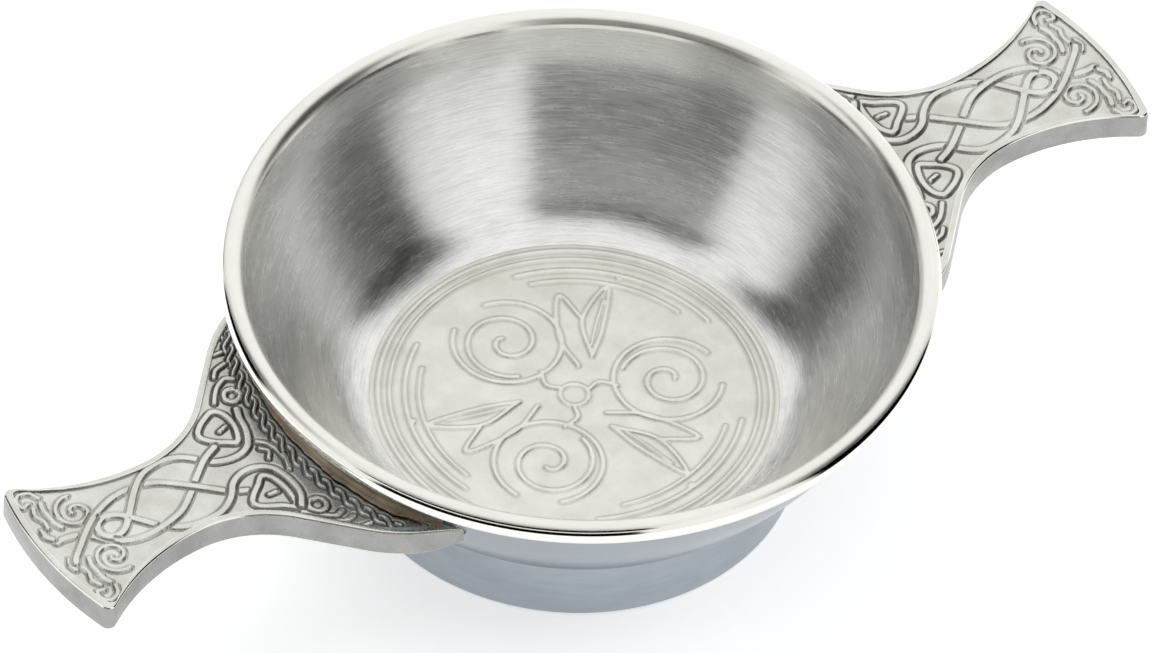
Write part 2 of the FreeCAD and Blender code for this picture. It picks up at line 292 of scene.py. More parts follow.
# The lug's sides are the same pewter in a darker copy: painted shade on faces turned away from the light.
shaded_polished_side = cast_finish(
    "shaded_polished_side", (0.38, 0.38, 0.37, 1), (0.29, 0.29, 0.28, 1), (0.1, 0.09, 0.08, 1), 0.20, 0.32, 0.012
)
worn_arris = cast_finish(
    "worn_arris", (0.93, 0.92, 0.86, 1), (0.86, 0.85, 0.78, 1), (0.3, 0.28, 0.22, 1), 0.06, 0.12, 0.006
)

# %% [markdown]
# Solder is softer and duller than the pewter that it joins, and flux leaves it brown. It was wiped
# along the joint by hand, so its colour comes in streaks.

# %% Solder
tarnished_solder, tree, shader = new_material("tarnished_solder")
grain = use_group(tree, cast_grain, Grains_per_metre=2200.0)
patches = remap(tree, grain.outputs["Patches"], 0.35, 0.65)
speckle = remap(tree, grain.outputs["Grain"], 0.35, 0.65)
brown = blend(tree, patches, (0.15, 0.105, 0.06, 1), (0.42, 0.35, 0.25, 1))
spots = calculate(tree, "MULTIPLY", speckle, 0.5)
tree.links.new(blend(tree, spots, brown, (0.42, 0.38, 0.31, 1)), shader.inputs["Base Color"])
tree.links.new(remap(tree, speckle, 0.0, 1.0, 0.35, 0.6), shader.inputs["Roughness"])
shader.inputs["Metallic"].default_value = 0.9
bump = put(tree, "ShaderNodeBump", {
    "Height": grain.outputs["Grain"], "Strength": 1.0, "Distance": 0.03 * MM,
})
tree.links.new(bump.outputs[0], shader.inputs["Normal"])

# %% [markdown]
# ## Turning a profile
#
# The bowl, the foot and the solder are all turned shapes. A profile is a chain of points, given as
# distance from the axis and height in millimetres, and the spin operator carries it round.

# %% Turned shapes
def arc(centre, radius, first, last, count):
    """Points along an arc, angles in degrees."""
    angles = np.radians(np.linspace(first, last, count))
    return [(centre[0] + radius * math.cos(a), centre[1] + radius * math.sin(a)) for a in angles]


def spin_profile(profile, steps, turn=2 * math.pi, start=0.0, closed=False):
    """Turn a chain of points about Z. A closed chain turned part of the way gets end faces."""
    work = bmesh.new()
    facing = Matrix.Rotation(start, 3, "Z")
    corners = [work.verts.new(facing @ Vector((r * MM, 0, z * MM))) for r, z in profile]
    chain = [work.edges.new(pair) for pair in zip(corners, corners[1:])]
    if closed:
        chain.append(work.edges.new((corners[-1], corners[0])))
    whole = abs(turn - 2 * math.pi) < 1e-9
    if closed and not whole:
        first_face = work.faces.new(corners)
        source = [first_face, *chain, *corners]
        work.faces.ensure_lookup_table()
    else:
        source = chain + corners
    bmesh.ops.spin(
        work, geom=source, cent=(0, 0, 0), axis=(0, 0, 1), angle=turn, steps=steps, use_merge=whole
    )
    bmesh.ops.remove_doubles(work, verts=work.verts, dist=1e-7)
    bmesh.ops.recalc_face_normals(work, faces=work.faces)
    return work


def finish_piece(work, name, nodes, finishes, sharp=40):
    """Turn a bmesh into a named piece that rides with the bowl."""
    mesh = bpy.data.meshes.new(name)
    work.to_mesh(mesh)
    work.free()
    mesh.shade_smooth()
    mesh.set_sharp_from_angle(angle=math.radians(sharp))
    for finish in finishes:
        mesh.materials.append(finish)
    piece = bpy.data.objects.new(name, mesh)
    bpy.context.collection.objects.link(piece)
    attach(piece, "root")
    for node in nodes:
        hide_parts(node)
    triangles = sum(len(face.vertices) - 2 for face in mesh.polygons)
    print(name, triangles, "triangles")
    return piece


# %% [markdown]
# ## The spun bowl
#
# One sheet of pewter is pushed over a former on the lathe: a flat floor, a tight curve, a long
# swelling wall, and a rim that is rolled over into a bead. The profile goes up the outside, round the
# bead and down the inside, so the sheet has its true thickness.

# %% Bowl
WALL_CENTRE = (-16.8, 60.1)
CORNER_CENTRE = (24.47, 22.54)
BEAD_CENTRE = (48.35, 35.35)
BEAD_RADIUS = 1.65
WALL_OUTSIDE = 70.0
WALL_INSIDE = 68.4
CORNER_OUTSIDE = 14.19
CORNER_INSIDE = 12.59
FLOOR_UNDER = 8.35
FLOOR_TOP = 9.95
WALL_TURN = -42.3
LIP_TURN = 159.3
LIP_STARTS = 30


def wall_reach(height, radius=WALL_OUTSIDE):
    return WALL_CENTRE[0] + math.sqrt(radius ** 2 - (WALL_CENTRE[1] - height) ** 2)


def wall_under_bead(radius, heights):
    """The highest point of the wall that is still outside the bead, and its angles."""
    for height in heights:
        reach = wall_reach(height, radius)
        if math.dist((reach, height), BEAD_CENTRE) > BEAD_RADIUS:
            break
    on_wall = math.degrees(math.atan2(height - WALL_CENTRE[1], reach - WALL_CENTRE[0]))
    on_bead = math.degrees(math.atan2(height - BEAD_CENTRE[1], reach - BEAD_CENTRE[0]))
    return on_wall, on_bead


outer_wall, outer_bead = wall_under_bead(WALL_OUTSIDE, np.arange(35, 32, -0.01))
bowl_profile = [(0, FLOOR_UNDER), (12, FLOOR_UNDER)]
bowl_profile += arc(CORNER_CENTRE, CORNER_OUTSIDE, -90, WALL_TURN, 20)
bowl_profile += arc(WALL_CENTRE, WALL_OUTSIDE, WALL_TURN, outer_wall, 34)[1:-1]
bowl_profile += arc(BEAD_CENTRE, BEAD_RADIUS, outer_bead, LIP_TURN, 44)
lip_reach = BEAD_CENTRE[0] + BEAD_RADIUS * math.cos(math.radians(LIP_TURN))
lip_height = BEAD_CENTRE[1] + BEAD_RADIUS * math.sin(math.radians(LIP_TURN))
step_in = wall_reach(lip_height, WALL_INSIDE) - lip_reach
for reach, height in arc(WALL_CENTRE, WALL_INSIDE, LIP_TURN - 180, WALL_TURN, 52)[1:]:
    share = max(0.0, min(1.0, (height - LIP_STARTS) / (lip_height - LIP_STARTS)))
    bowl_profile.append((reach - step_in * share * share * (3 - 2 * share), height))
bowl_profile += arc(CORNER_CENTRE, CORNER_INSIDE, WALL_TURN, -90, 20)[1:]
bowl_profile += [(12, FLOOR_TOP), (0, FLOOR_TOP)]
bowl = spin_profile(bowl_profile, 320)
for face in bowl.faces:
    middle = face.calc_center_median()
    reach = math.hypot(middle.x, middle.y) / MM
    height = middle.z / MM
    if math.dist((reach, height), BEAD_CENTRE) < BEAD_RADIUS + 0.02:
        turned = math.degrees(math.atan2(height - BEAD_CENTRE[1], reach - BEAD_CENTRE[0]))
        face.material_index = 3 if 50 < turned < 165 else 1
    # Faces of the outside take the finish with the painted shade.
    elif face.normal.dot(Vector((middle.x, middle.y, 0))) > 0 or (height < 8.5 and face.normal.z < 0):
        face.material_index = 2
bowl_finishes = [satin_inside, burnished_bead, smooth_shaded_outside, satin_lip]
finish_piece(bowl, "spun_bowl", ["bowl_body"], bowl_finishes)

# %% [markdown]
# ## The foot and its solder
#
# The foot is a strip turned into a slightly flared ring. Its upper edge is cut to the curve under the
# bowl and soldered all the way round, and its lower edge is eased so that it does not mark a table.

# %% Foot
def corner_height(reach, radius=CORNER_OUTSIDE):
    return CORNER_CENTRE[1] - math.sqrt(radius ** 2 - (reach - CORNER_CENTRE[0]) ** 2)


lean_out = 1.5 / corner_height(30.0)
foot_profile = [(30.0 + 0.5 * lean_out, corner_height(30.0) - 0.5)]
foot_profile += arc((31.0, 0.5), 0.5, 3, -90, 7)
foot_profile += arc((30.2, 0.5), 0.5, -90, -183, 7)
foot_profile += [(28.2, corner_height(28.2) - 0.02), (29.1, corner_height(29.1) - 0.02)]
foot_profile += [(30.0, corner_height(30.0) - 0.02)]
finish_piece(
    spin_profile(foot_profile, 256, closed=True), "spun_foot", ["foot_ring"], [smooth_shaded_foot]
)

foot_solder_profile = [(30.1, corner_height(30.0) - 1.6)]
foot_solder_profile += [(30.45, 8.5), (30.85, 9.15), (31.55, corner_height(31.6))]
foot_solder_profile += [(30.8, corner_height(30.8)), (30.0, corner_height(30.0))]
foot_solder = spin_profile(foot_solder_profile, 256, closed=True)
finish_piece(foot_solder, "foot_solder_ring", ["foot_solder"], [tarnished_solder])

# %% [markdown]
# ## Raised lines
#
# The disc and the lugs are cast with raised lines. Each line is a smooth stroke drawn through a few
# points. The height of the metal at a place follows from how far it is from the nearest
# stroke: a rounded ridge on the stroke, a sunk groove beside it.

# %% Strokes
def smooth_line(points, closed=False, step=0.08):
    """A smooth curve through points, sampled about every step millimetres."""
    knots = [np.array(point, float) for point in points]
    if closed:
        knots = [knots[-1], *knots, knots[0], knots[1]]
    else:
        knots = [2 * knots[0] - knots[1], *knots, 2 * knots[-1] - knots[-2]]
    line = []
    for before, first, second, after in zip(knots, knots[1:], knots[2:], knots[3:]):
        count = max(2, int(np.linalg.norm(second - first) / step))
        for t in np.arange(count) / count:
            line.append(0.5 * (
                2 * first
                + (second - before) * t
                + (2 * before - 5 * first + 4 * second - after) * t ** 2
                + (3 * first - before - 3 * second + after) * t ** 3
            ))
    if not closed:
        line.append(knots[-2])
    else:
        line.append(line[0])
    return np.array(line)


def circle_line(centre, radius, first=0.0, last=360.0):
    count = max(8, int(math.radians(last - first) * radius / 0.1))
    return np.array(arc(centre, radius, first, last, count))


def distance_to(places, line, limit=1.6):
    """How far places are from a stroke, and how far along it the nearest point lies."""
    distance = np.full(len(places), 1e3)
    position = np.zeros(len(places))
    tree = KDTree(len(line))
    for index, (x, y) in enumerate(line):
        tree.insert((x, y, 0), index)
    tree.balance()
    low = line.min(axis=0) - limit
    high = line.max(axis=0) + limit
    for index in np.where(np.all((places > low) & (places < high), axis=1))[0]:
        _, position[index], distance[index] = tree.find((*places[index], 0))
    return distance, position


# %% [markdown]
# ## The disc in the floor
#
# The disc is cast with a design in raised lines and pressed into the floor. Its design is a plain one
# of this script's own: two rims, three spiral roundels, and leaves and long arcs between them. It is a
# turned mesh, so the rings are true circles, and the lines are raised by moving its points.

# %% Floor disc
DISC_FACE = 10.72
DISC_UNDER = 9.96
LINE_RISE = 0.22
disc_rings = np.concatenate([np.linspace(0.0, 6.0, 28), np.linspace(6.0, 28.2, 118)[1:]])
disc_profile = [(reach, DISC_FACE) for reach in disc_rings]
disc_profile += [(28.5, DISC_FACE - 0.02), (28.6, 10.62), (27.0, 10.25)]
disc_profile += [(24.47, DISC_UNDER), (12, DISC_UNDER), (0, DISC_UNDER)]
disc = spin_profile(disc_profile, 620)
finish_disc = finish_piece(disc, "floor_disc", ["floor_medallion"], [cast_disc])

disc_strokes = [
    (circle_line((0, 0), 27.3), 0.42),
    (circle_line((0, 0), 25.7), 0.34),
    (circle_line((0, 0), 2.0), 0.4),
]
for third in range(3):
    bearing = math.radians(100 + 120 * third)
    turn_by = np.array([[math.cos(bearing), math.sin(bearing)], [-math.sin(bearing), math.cos(bearing)]])
    spiral = [
        (13.4 + (1.0 + 0.76 * t) * math.cos(1.2 * t), (1.0 + 0.76 * t) * math.sin(1.2 * t))
        for t in np.linspace(0.0, 7.4, 60)
    ]
    drawn = [
        (smooth_line(spiral, step=0.3), 0.42),
        (circle_line((13.4, 0), 7.6, 30, 340), 0.42),
        (circle_line((0, 0), 23.6, 24, 96), 0.42),
        (circle_line((0, 0), 21.6, 34, 92), 0.36),
        (smooth_line([(4.2, 6.6), (7.0, 11.5), (9.6, 18.9), (4.6, 13.6), (4.2, 6.6)]), 0.38),
        (smooth_line([(1.9, 5.2), (0.6, 11.0), (2.4, 18.6), (4.6, 13.6)]), 0.38),
        (smooth_line([(4.6, 8.6), (6.4, 12.6), (8.4, 16.4)]), 0.26),
        (smooth_line([(6.2, 0.4), (4.0, 1.6), (2.0, 0.4)]), 0.38),
        (circle_line((11.6, 20.2), 0.35), 0.3),
    ]
    disc_strokes += [(line @ turn_by, width) for line, width in drawn]

corners = np.empty(len(finish_disc.data.vertices) * 3)
finish_disc.data.vertices.foreach_get("co", corners)
corners = corners.reshape(-1, 3)
on_face = np.where(corners[:, 2] > (DISC_FACE - 0.001) * MM)[0]
places = corners[on_face][:, :2] / MM
drawn = np.concatenate([line for line, _ in disc_strokes])
halves = np.concatenate([np.full(len(line), half) for line, half in disc_strokes])
distance, nearest = distance_to(places, drawn)
half = halves[nearest.astype(int)]
lift = LINE_RISE * np.sqrt(np.clip(1 - (distance / half) ** 2, 0, 1))
groove = np.exp(-(((distance - half - 0.12) / 0.16) ** 2))
groove[lift > 0.02] *= 0.2
corners[on_face, 2] += (lift - 0.05 * groove) * MM
finish_disc.data.vertices.foreach_set("co", corners.ravel())
# The hollow attribute darkens the grooves beside the lines and, a little, the flat ground: tarnish and
# painted shade.
hollow = np.zeros(len(corners))
hollow[on_face] = np.clip(0.4 * groove + 0.08 * (lift < 0.02), 0, 1)
finish_disc.data.attributes.new("hollow", "FLOAT", "POINT").data.foreach_set("value", hollow)
finish_disc.data.update()

# %% [markdown]
# ## The lugs
#
# Each lug is a flat casting 4.5 mm thick, waisted between a wide end and two horns that lie along the
# bowl. It is drawn once, for the side of +X, and turned half a turn for the other side. The top is a
# plain border round a sunk field.

# %% Outline of a lug
LUG_TOP = 29.8
LUG_UNDER = 25.3
FIELD = 29.38
LUG_REACH = 89.0
LUG_CORNER = 13.9


def lug_side(inset=0.0):
    """One long side of the plan, from its end corner to the tip of its horn."""
    corner = (LUG_REACH - 2.0 - inset, LUG_CORNER - 1.15 * inset)
    waist = (67.9, 7.4 - inset)
    rise = corner[1] - waist[1]
    end_radius = ((corner[0] - waist[0]) ** 2 + rise ** 2) / (2 * rise)
    flare = 16.8 + inset
    horn = 22.0 - inset
    slope = math.radians(46.5)
    tip_slope = math.radians(25.0)
    end_turn = math.asin((corner[0] - waist[0]) / end_radius)
    side = [
        (waist[0] + end_radius * math.sin(t), waist[1] + end_radius * (1 - math.cos(t)))
        for t in np.linspace(end_turn, 0, 24)
    ]
    side += [
        (waist[0] - flare * math.sin(t), waist[1] + flare * (1 - math.cos(t)))
        for t in np.linspace(0, slope, 20)[1:]
    ]
    run = side[-1][0] - 49.0
    bend = (49.0, side[-1][1] + run * math.tan(slope))
    side += [
        (
            bend[0] - horn * (math.sin(slope) - math.sin(t)),
            bend[1] + horn * (math.cos(t) - math.cos(slope)),
        )
        for t in np.linspace(slope, tip_slope, 12)
    ]
    run = side[-1][0] - 36.0
    tip = side[-1]
    side += [
        (tip[0] - run * share, tip[1] + run * share * math.tan(tip_slope))
        for share in np.linspace(0.1, 1, 10)
    ]
    return side


def end_arc(inset=0.0, count=24):
    half = LUG_CORNER - 1.15 * inset
    radius = (half ** 2 + 2.0 ** 2) / 4.0
    spread = math.degrees(math.asin(half / radius))
    return arc((LUG_REACH - inset - radius, 0), radius, spread, -spread, count)


def cut_at(side, root):
    """Keep a side up to a circle about the axis, and end it on that circle."""
    kept = []
    for first, second in zip(side, side[1:]):
        kept.append(first)
        near, far = math.hypot(*second), math.hypot(*first)
        if near < root <= far:
            share = (far - root) / (far - near)
            kept.append(tuple(a + share * (b - a) for a, b in zip(first, second)))
            break
    return kept


def ease_corner(before, after, radius):
    """Join two chains that meet at a corner by an arc. Both start at the corner."""
    corner = Vector(before[0])
    back = (Vector(before[1]) - corner).normalized()
    on = (Vector(after[1]) - corner).normalized()
    opening = back.angle(on)
    trim = radius / math.tan(opening / 2)
    centre = corner + (back + on).normalized() * (radius / math.sin(opening / 2))
    spoke = corner + back * trim - centre
    swing = math.pi - opening
    sign = 1 if back.cross(on) < 0 else -1
    rounding = []
    for share in np.linspace(0, 1, 8):
        angle = sign * swing * share
        turned = Vector((
            spoke.x * math.cos(angle) - spoke.y * math.sin(angle),
            spoke.x * math.sin(angle) + spoke.y * math.cos(angle),
        ))
        rounding.append(tuple(centre + turned))
    kept = [point for point in reversed(before) if (Vector(point) - corner).length > trim * 1.05]
    rest = [point for point in after if (Vector(point) - corner).length > trim * 1.05]
    return kept + rounding + rest


def lug_outline(inset, root, corner_radius):
    """The plan from the upper horn's tip, round the end, to the lower horn's tip."""
    upper = cut_at(lug_side(inset), root)
    end = end_arc(inset)
    half = ease_corner(upper, end[:12], corner_radius)
    return half + [(x, -y) for x, y in reversed(half)]


def root_arc(outline, root, count=60):
    last = math.degrees(math.atan2(outline[-1][1], outline[-1][0]))
    return arc((0, 0), root, last, -last, count)[1:-1]


# %% [markdown]
# The plan is pushed down to give the plate, and its arrises are eased. The top is opened and filled
# again round the sunk field, which leaves the border. The root leans with the wall of the bowl and ends
# inside the wall's thickness. Towards the tips of the horns the underside rises a little.

# %% Lug casting
ROOT_TOP = wall_reach(LUG_TOP) - 0.25
ROOT_UNDER = wall_reach(LUG_UNDER) - 0.25
FIELD_ROOT = 47.3
TOP_ARRIS = 0.36
UNDER_ARRIS = 0.6


def build_lug():
    outline = lug_outline(0.0, ROOT_TOP, 1.2)
    root = root_arc(outline, ROOT_TOP)
    work = bmesh.new()
    ring = [work.verts.new((x * MM, y * MM, LUG_TOP * MM)) for x, y in outline + root]
    top = work.faces.new(ring)
    pushed = bmesh.ops.extrude_face_region(work, geom=[top], use_keep_orig=True)
    lower = [item for item in pushed["geom"] if isinstance(item, bmesh.types.BMVert)]
    shift = (LUG_UNDER - LUG_TOP) * MM
    for point in lower:
        reach = math.hypot(point.co.x, point.co.y)
        if abs(reach - ROOT_TOP * MM) < 1e-7:
            point.co.x *= ROOT_UNDER / ROOT_TOP
            point.co.y *= ROOT_UNDER / ROOT_TOP
        point.co.z += shift
    bmesh.ops.recalc_face_normals(work, faces=work.faces)

    def is_root(point):
        reach = math.hypot(point.co.x, point.co.y) / MM
        return reach < ROOT_TOP + 0.001

    for height, size in ((LUG_TOP, TOP_ARRIS), (LUG_UNDER, UNDER_ARRIS)):
        rim = [
            edge for edge in work.edges
            if all(abs(point.co.z - height * MM) < 1e-7 for point in edge.verts)
            and not all(is_root(point) for point in edge.verts)
        ]
        bmesh.ops.bevel(
            work, geom=rim, offset=size * MM, offset_type="OFFSET", segments=4, profile=0.5,
            affect="EDGES", clamp_overlap=False, material=-1,
        )

    top = max(work.faces, key=lambda face: face.calc_area() * (face.normal.z > 0.9))
    hole = list(top.edges)
    bmesh.ops.delete(work, geom=[top], context="FACES_ONLY")
    sunk = lug_outline(1.0, FIELD_ROOT, 0.8)
    sunk += root_arc(sunk, FIELD_ROOT)
    inner = [work.verts.new((x * MM, y * MM, LUG_TOP * MM)) for x, y in sunk]
    border = [work.edges.new((inner[i], inner[(i + 1) % len(inner)])) for i in range(len(inner))]
    bmesh.ops.triangle_fill(work, use_beauty=True, edges=hole + border)
    sides = bmesh.ops.extrude_edge_only(work, edges=border)["geom"]
    for point in (item for item in sides if isinstance(item, bmesh.types.BMVert)):
        point.co.z = (FIELD - 0.25) * MM
    floor = [item for item in sides if isinstance(item, bmesh.types.BMEdge)]
    bmesh.ops.edgeloop_fill(work, edges=floor)
    bmesh.ops.bevel(
        work, geom=[edge for edge in border if edge.is_valid], offset=0.12 * MM, offset_type="OFFSET",
        segments=2, profile=0.5, affect="EDGES", clamp_overlap=False, material=-1,
    )
    for point in work.verts:
        beyond = (math.degrees(abs(math.atan2(point.co.y, point.co.x))) - 28.0) / 9.0
        if beyond > 0:
            point.co.z += (LUG_TOP * MM - point.co.z) * 0.6 * min(1.0, beyond) ** 2
    bmesh.ops.recalc_face_normals(work, faces=work.faces)
    return work


for side_name, turn in (("right", 0.0), ("left", math.pi)):
    lug = build_lug()
    bmesh.ops.rotate(lug, verts=lug.verts, cent=(0, 0, 0), matrix=Matrix.Rotation(turn, 3, "Z"))
    for face in lug.faces:
        # Near-vertical faces get the darker copy with painted shade; the eased arrises get the worn finish.
        if abs(face.normal.z) < 0.3:
            face.material_index = 1
        elif 0.3 <= face.normal.z < 0.97:
            face.material_index = 2
    finishes = [cast_lug, shaded_polished_side, worn_arris]
    finish_piece(lug, f"{side_name}_lug_casting", [f"{side_name}_lug"], finishes, 32)

# %% [markdown]
# ## The interlace
#
# The field of each lug is carved with knotwork: bands about 1 mm wide that pass over and under each
# other, with a pair of pointed loops in each horn, a long braid through the waist, and two scrolls with
# beasts' heads at the end. The bands are strokes, written as distance from the axis and distance
# sideways. Where two cross, they take turns at passing over, as in any knot of this kind.

# %% Bands of the interlace
bands = [
    # the two long bands that braid through the waist
    ([(85.9, 3.2), (85.2, 2.3), (83.7, 1.0), (82.1, -0.4), (80.3, -1.8), (78.3, -3.0), (75.4, -4.1),
      (73.3, -4.4), (70.9, -4.3), (68.9, -3.7), (67.3, -2.7), (65.6, -1.2), (63.6, 0.6), (62.2, 1.9),
      (60.9, 3.1), (59.7, 3.9), (58.3, 4.6)], 0.52),
    ([(86.0, -1.4), (84.4, -1.4), (82.6, -0.9), (81.2, 0.2), (80.1, 1.7), (78.6, 3.0), (76.8, 3.8),
      (74.8, 4.15), (72.4, 4.05), (70.1, 3.6), (68.0, 2.8), (65.9, 1.3), (64.2, -0.2), (62.4, -1.7),
      (60.6, -3.1), (59.2, -3.9), (57.8, -4.5)], 0.55),
    # the outer band: an arch in each horn, and a loop beyond the waist
    ([(53.6, 10.8), (52.7, 9.4), (52.3, 7.8), (52.3, 6.0), (52.6, 4.3), (53.3, 2.8), (54.6, 1.8), (56.2, 1.4),
      (58.0, 1.7), (59.5, 2.6), (60.7, 4.1), (62.0, 5.2), (63.6, 6.0), (65.4, 6.2), (67.4, 6.1), (69.5, 5.5),
      (70.9, 4.6), (72.4, 3.3), (73.6, 1.8), (74.6, 0.5), (75.6, -0.7), (76.7, -1.5), (78.1, -1.8),
      (79.5, -1.1), (80.0, 0.2), (79.4, 1.5), (78.1, 2.0), (76.7, 1.5), (75.4, 0.3), (73.9, -1.3),
      (72.6, -2.7), (71.2, -4.1), (69.8, -5.2), (68.3, -5.9), (66.2, -6.3), (64.5, -6.2), (63.0, -5.6),
      (61.7, -4.6), (60.4, -3.2), (59.1, -2.2), (57.2, -1.6), (55.3, -1.6), (53.7, -2.4), (52.7, -3.9),
      (52.1, -5.6), (51.8, -7.2), (51.2, -8.8)], 0.55),
    # the band along the root, and the chevron in it
    ([(51.2, 4.2), (50.6, 2.5), (50.6, 0.5), (51.2, -1.3), (52.2, -2.3)], 0.42),
    ([(52.6, 1.2), (51.8, 0.0), (52.6, -1.0)], 0.32),
]
loops = [
    # pointed loops in the horns
    ([(54.4, 10.6), (55.9, 9.5), (57.4, 8.7), (58.7, 7.8), (59.0, 6.8), (58.1, 5.7), (56.7, 4.6), (55.2, 3.4),
      (54.1, 4.6), (53.7, 6.8), (53.8, 9.0)], 0.48),
    ([(54.5, -3.7), (55.9, -4.4), (57.2, -5.3), (58.3, -6.6), (58.4, -7.7), (57.4, -8.8), (55.9, -9.7),
      (54.4, -10.2), (53.4, -9.2), (53.1, -7.5), (53.5, -5.4)], 0.48),
    # small knots between those loops and the horns' tips
    ([(52.9, 11.9), (52.2, 13.0), (50.9, 12.9), (50.5, 11.6), (51.3, 10.7), (52.5, 10.9)], 0.42),
    ([(51.5, -11.4), (50.7, -12.4), (49.5, -12.2), (49.1, -11.0), (50.0, -10.2), (51.1, -10.4)], 0.42),
]
details = [
    # bars inside the loops
    ([(54.9, 6.9), (56.3, 6.8)], 0.34),
    ([(54.2, -7.0), (55.6, -6.6)], 0.34),
    # tails and cross bars towards the tips of the horns
    ([(54.2, 12.0), (53.0, 13.0), (51.8, 14.2), (50.6, 14.9), (49.4, 14.6)], 0.4),
    ([(53.2, -11.4), (52.0, -12.9), (50.8, -13.9), (49.4, -14.4), (48.4, -13.8)], 0.4),
    ([(51.4, 15.6), (50.0, 16.4), (48.6, 16.2)], 0.36),
    ([(50.6, -15.4), (49.6, -16.4), (47.9, -16.8)], 0.36),
    ([(47.4, 18.6), (48.9, 18.4)], 0.32),
    ([(46.8, -18.8), (48.2, -19.0)], 0.32),
]
for side in (1, -1):
    middle = (80.7, 4.8)
    scroll = [
        (middle[0] + (0.5 + 0.42 * t) * math.cos(1.3 * t), middle[1] + (0.5 + 0.42 * t) * math.sin(1.3 * t))
        for t in np.linspace(0.0, 6.2, 44)
    ]
    details += [
        ([(u, side * v) for u, v in scroll], 0.34),
        # a beast's long body, its leg, its head and the curl of its tail in the corner
        ([(83.9, side * 3.4), (84.3, side * 4.6), (84.3, side * 6.0), (84.3, side * 7.4),
          (83.9, side * 8.6)], 0.44),
        ([(85.6, side * 4.2), (85.4, side * 5.6), (85.8, side * 7.0), (85.3, side * 8.4)], 0.38),
        ([(86.2, side * 2.2), (86.7, side * 3.1), (86.5, side * 4.2)], 0.5),
        ([(83.6, side * 9.6), (84.2, side * 11.0), (85.6, side * 11.5), (86.6, side * 10.6),
          (86.4, side * 9.2), (85.4, side * 9.4)], 0.36),
    ]
# a fine twist of two strands that fills the strip beside the solder
for start in (0.0, math.pi):
    twist = [
        (math.radians(turn), 49.55 + 0.62 * math.sin(1.05 * turn + start))
        for turn in np.arange(-25.5, 25.6, 0.5)
    ]
    details.append(([(reach * math.cos(turn), reach * math.sin(turn)) for turn, reach in twist], 0.27))
band_lines = [(smooth_line(points), half) for points, half in bands]
band_lines += [(smooth_line(points, closed=True), half) for points, half in loops]
band_lines += [(smooth_line(points), half) for points, half in details]
print(len(band_lines), "bands")

# %% [markdown]
# A band that passes over at one crossing passes under at the next. The crossings are found from the
# drawn bands. The first one of each linked set gets a side, and the others follow from it.

# %% Crossings
def crossings_of(first, second, same):
    """Where two lines cross, as positions along each."""
    start, other = first[:-1], second[:-1]
    run, other_run = first[1:] - start, second[1:] - other
    gap = other[None] - start[:, None]
    turn = run[:, None, 0] * other_run[None, :, 1] - run[:, None, 1] * other_run[None, :, 0]
    turn[np.abs(turn) < 1e-12] = 1e-12
    share = (gap[..., 0] * other_run[None, :, 1] - gap[..., 1] * other_run[None, :, 0]) / turn
    other_share = (gap[..., 0] * run[:, None, 1] - gap[..., 1] * run[:, None, 0]) / turn
    hit = (share >= 0) & (share < 1) & (other_share >= 0) & (other_share < 1)
    pairs = np.argwhere(hit)
    return [(i, j) for i, j in pairs if not same or j > i + 12]


passes = [[] for _ in band_lines]
knot = []
for first in range(len(band_lines)):
    for second in range(first, len(band_lines)):
        for i, j in crossings_of(band_lines[first][0], band_lines[second][0], first == second):
            passes[first].append((i, len(knot), 1))
            passes[second].append((j, len(knot), -1))
            knot.append(0)
links = [[] for _ in knot]
for row in passes:
    row.sort()
    for (_, here, sign), (_, there, other_sign) in zip(row, row[1:]):
        if here != there:
            links[here].append((there, -sign * other_sign))
            links[there].append((here, -sign * other_sign))
for index in range(len(knot)):
    if knot[index]:
        continue
    knot[index] = 1
    waiting = [index]
    while waiting:
        here = waiting.pop()
        for there, relation in links[here]:
            if not knot[there]:
                knot[there] = knot[here] * relation
                waiting.append(there)
print(len(knot), "crossings")

# %% [markdown]
# The carved surface is a fine grid, cut to the field. Its edge runs under the border. At each point the
# band that passes over is found, and the point rises to that band or sinks into the groove beside it.

# %% Carved field
CELL = 0.125
BAND_RISE = 0.24
GROOVE_DEPTH = 0.16
FIELD_SPAN = 51.0


def half_width(reach, inset):
    """Half the width of the field at a distance from the axis."""
    side = np.array(lug_side(inset))[::-1]
    return np.interp(reach, side[:, 0], side[:, 1])


def build_field():
    low_u, high_u = 40.5, 88.4
    count_u = int((high_u - low_u) / CELL)
    count_v = int(FIELD_SPAN / CELL)
    grid = bmesh.new()
    shape = Matrix.Translation(((low_u + high_u) / 2 * MM, 0, FIELD * MM))
    shape = shape @ Matrix.Diagonal(((high_u - low_u) * MM / 2, FIELD_SPAN * MM / 2, 1, 1))
    bmesh.ops.create_grid(grid, x_segments=count_u, y_segments=count_v, size=1.0, matrix=shape)
    co = np.array([point.co[:2] for point in grid.verts]) / MM
    reach = np.hypot(co[:, 0], co[:, 1])
    half = half_width(co[:, 0], 0.65)
    end = end_arc(0.65, 40)
    end_x = np.interp(np.abs(co[:, 1]), [abs(y) for _, y in end[20:]], [x for x, _ in end[20:]])
    keep = (np.abs(co[:, 1]) < half) & (co[:, 0] < end_x) & (reach > FIELD_ROOT - 0.35)
    points = list(grid.verts)
    bmesh.ops.delete(grid, geom=[points[i] for i in np.where(~keep)[0]], context="VERTS")
    loose = [point for point in grid.verts if not point.link_faces]
    bmesh.ops.delete(grid, geom=loose, context="VERTS")
    rim = [edge for edge in grid.edges if edge.is_boundary]
    sides = bmesh.ops.extrude_edge_only(grid, edges=rim)["geom"]
    for point in (item for item in sides if isinstance(item, bmesh.types.BMVert)):
        point.co.z -= 0.2 * MM
    bmesh.ops.holes_fill(grid, edges=[item for item in sides if isinstance(item, bmesh.types.BMEdge)])
    bmesh.ops.recalc_face_normals(grid, faces=grid.faces)
    return grid


